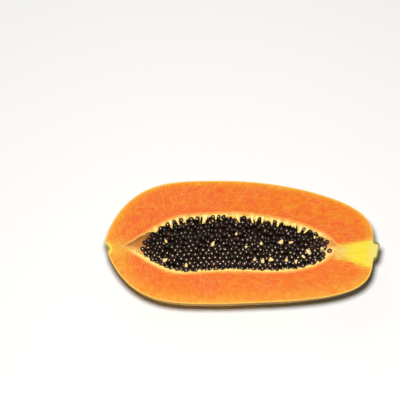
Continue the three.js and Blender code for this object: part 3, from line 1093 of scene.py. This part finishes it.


# How dull a seed's coat is: dullest on the high side, as painted shade under the high rim, with a
# random share on top
def coat_dullness(x, y, shine):
    dull = math.exp(-(((across_cavity(x, y) - 0.5) / 0.45) ** 2))
    return min(1, max(0, dull + 0.6 * next(shine)))


# How brown a seed is: brown at the stem end and a little along the low rim
def coat_tint(x, y, swing):
    brown = 0.5 * smooth_step(x, 196 * MM, 222 * MM) + 0.5 * smooth_step(x, 222 * MM, 223.5 * MM)
    brown += 0.25 * smooth_step(across_cavity(x, y), -0.55, -0.85)
    return min(1, (next(swing) + 1) / 2 + brown)


ball_points, ball_faces = unit_ball(2)
shine = swing_stream(FIRST_SHINE_DRAW)
edge_seeds = rim_seeds(swing)
inner_seeds = make_room(top_layer(), edge_seeds)
seed_places = [seed for seed in edge_seeds + inner_seeds if clear_of_pale_seeds(*seed[:2])]
seed_places = [seed for seed in seed_places if not on_bare_tissue(*seed[:2])]
seed_places = [seed for seed in seed_places if nearest_gap(*seed[:2], STEM_SEEDS) > RIM_SEED_ROOM]
seed_places += [list(seed) for seed in STEM_SEEDS]
seed_parts = []
for x, y, depth, size in seed_places:
    radius = SEED_RADIUS * (1 + SIZE_SWING * size)
    loose = smooth_step(depth, 4 * MM, 7 * MM)
    depth = settled_depth(x, y, depth, radius, loose, swing)
    shift = LOOSE_SHIFT * loose * np.array([next(swing), next(swing), 0])
    middle = np.array([x, y, -depth]) + shift
    turn = turned(math.pi * next(swing), math.pi / 3 * next(swing))
    seed_points = (ball_points * (SEED_SHAPE * radius)) @ turn.T
    marks = {"tint": coat_tint(x, y, swing), "dull": coat_dullness(x, y, shine)}
    seed_parts.append((seed_points + middle, ball_faces, marks))
    lower = middle + np.array([SEED_PITCH / 2, SEED_PITCH / 3 * next(swing), -LOWER_LAYER_DROP])
    if inside_cavity(lower[0], lower[1], SEED_RADIUS + 2 * MM) and x < TISSUE_START:
        # The lower layer gets the dullest, dim coat, which paints shade into the gaps between top
        # seeds
        seed_parts.append((seed_points + lower, ball_faces, {"tint": 0.5, "dull": 1.0}))
black_seeds = joined_parts("black_seeds", seed_parts)
dim_coats = [int(marks["dull"] > DIM_COAT_FROM) for _, _, marks in seed_parts]
coats = np.repeat(dim_coats, len(ball_faces))
black_seeds.data.materials.append(seed_material("wet_seed_coat", WET_REFRACTION))
black_seeds.data.materials.append(seed_material("dim_seed_coat", DIM_REFRACTION))
black_seeds.data.polygons.foreach_set("material_index", coats.astype(np.int32))
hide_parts("seeds")
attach(black_seeds, "root")

# The pale seeds: soft cream ones that never grew. A few lie among the black ones, each a lumpy
# drop, pointed at one end and flatter than it is wide.
PALE_SEED_CREAM = screen_colour(236, 208, 146)
PALE_SEED_LUMPS = 0.35
PALE_SEED_LUMP_SIZE = 1.6 * MM
PALE_SEED_TAPER = 0.5
PALE_SEED_FLATNESS = 0.8


def pale_seed(along, place, length, width, turn_degrees, swing):
    half_lengths = np.array([length, width, PALE_SEED_FLATNESS * width]) * MM / 2
    points = ball_points * half_lengths
    swell = PALE_SEED_LUMPS * lumps(points + next(swing), PALE_SEED_LUMP_SIZE)
    points = points * (1 + swell)[:, None]
    points[:, 1] *= 1 - PALE_SEED_TAPER * points[:, 0] / half_lengths[0]
    middle = np.array([along * MM, place * MM, -half_lengths[2] * 1.25 - 0.8 * MM])
    turn = turned(math.radians(turn_degrees), 0.2 * next(swing))
    return points @ turn.T + middle, ball_faces, {}


pale_seeds = joined_parts("pale_seeds", [pale_seed(*pale, swing) for pale in PALE_SEEDS])
pale_seeds.data.materials.append(pale_material("pale_seed_coat", PALE_SEED_CREAM, 0.0))
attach(pale_seeds, "root")

# The floor, the lights and the camera: a plain pale floor, one strong light high above the low
# side, a weak wide one behind, a dim warm studio all round, and a camera with a long lens that
# looks down on the cut face.
FLOOR_SIZE = 6.0
PICTURE_WIDTH_SEEN = 0.4
CAMERA_ELEVATION = 74
SENSOR_WIDTH = 36
LENS = 240
LOOK_AT = Vector((BLOSSOM_X + 94.5 * MM, 44.2 * MM, CUT_Z))
FLOOR_PAINT = (0.76, 0.76, 0.76, 1)
STUDIO_COLOUR = (1, 0.8, 0.6, 1)
WALL_LIGHT = 0.04
CEILING_LIGHT = 0.11

floor_mesh = bpy.data.meshes.new("floor")
half_floor = FLOOR_SIZE / 2
floor_corners = [(x * half_floor, y * half_floor, 0) for x, y in ((-1, -1), (1, -1), (1, 1), (-1, 1))]
floor_mesh.from_pydata(floor_corners, [], [(0, 1, 2, 3)])
floor = bpy.data.objects.new("floor", floor_mesh)
bpy.context.scene.collection.objects.link(floor)
floor_paint, _, floor_surface = new_material("floor_white", 0.8)
floor_surface.inputs["Base Color"].default_value = FLOOR_PAINT
floor_mesh.materials.append(floor_paint)


# A round light that points at the fruit. Its azimuth is in degrees from +Y towards +X.
def soft_light(name, azimuth, elevation, distance, size, power):
    light = bpy.data.lights.new(name, "AREA")
    light.shape = "DISK"
    light.size = size
    light.energy = power
    lamp = bpy.data.objects.new(name, light)
    bpy.context.scene.collection.objects.link(lamp)
    turn = math.radians(azimuth)
    rise = math.radians(elevation)
    level = math.cos(rise)
    direction = Vector((math.sin(turn) * level, math.cos(turn) * level, math.sin(rise)))
    lamp.location = direction * distance
    lamp.rotation_euler = direction.to_track_quat("Z", "Y").to_euler()


soft_light("key_light", azimuth=190, elevation=80.5, distance=1.6, size=0.18, power=30.6)
soft_light("back_light", azimuth=-20, elevation=60, distance=1.8, size=0.9, power=2)


# A warm, dim studio all round, which keeps the seeds black and the shadow brown
def studio_world():
    world = bpy.data.worlds.new("studio")
    world.use_nodes = True
    tree = world.node_tree
    places = add_node(tree, "ShaderNodeTexCoord", {}).outputs["Generated"]
    height = add_node(tree, "ShaderNodeSeparateXYZ", {"Vector": places}).outputs["Z"]
    light = remap(tree, height, 0.15, 0.6, WALL_LIGHT, CEILING_LIGHT)
    tree.links.new(light, tree.nodes["Background"].inputs["Strength"])
    tree.nodes["Background"].inputs["Color"].default_value = STUDIO_COLOUR
    return world


bpy.context.scene.world = studio_world()
bpy.context.scene.view_settings.view_transform = "Standard"

camera_data = bpy.data.cameras.new("camera")
camera_data.sensor_width = SENSOR_WIDTH
camera_data.lens = LENS
camera = bpy.data.objects.new("camera", camera_data)
bpy.context.scene.collection.objects.link(camera)
camera_rise = math.radians(CAMERA_ELEVATION)
away = Vector((0, -math.cos(camera_rise), math.sin(camera_rise)))
camera.location = LOOK_AT + away * (PICTURE_WIDTH_SEEN * LENS / SENSOR_WIDTH)
camera.rotation_euler = away.to_track_quat("Z", "Y").to_euler()
bpy.context.scene.camera = camera
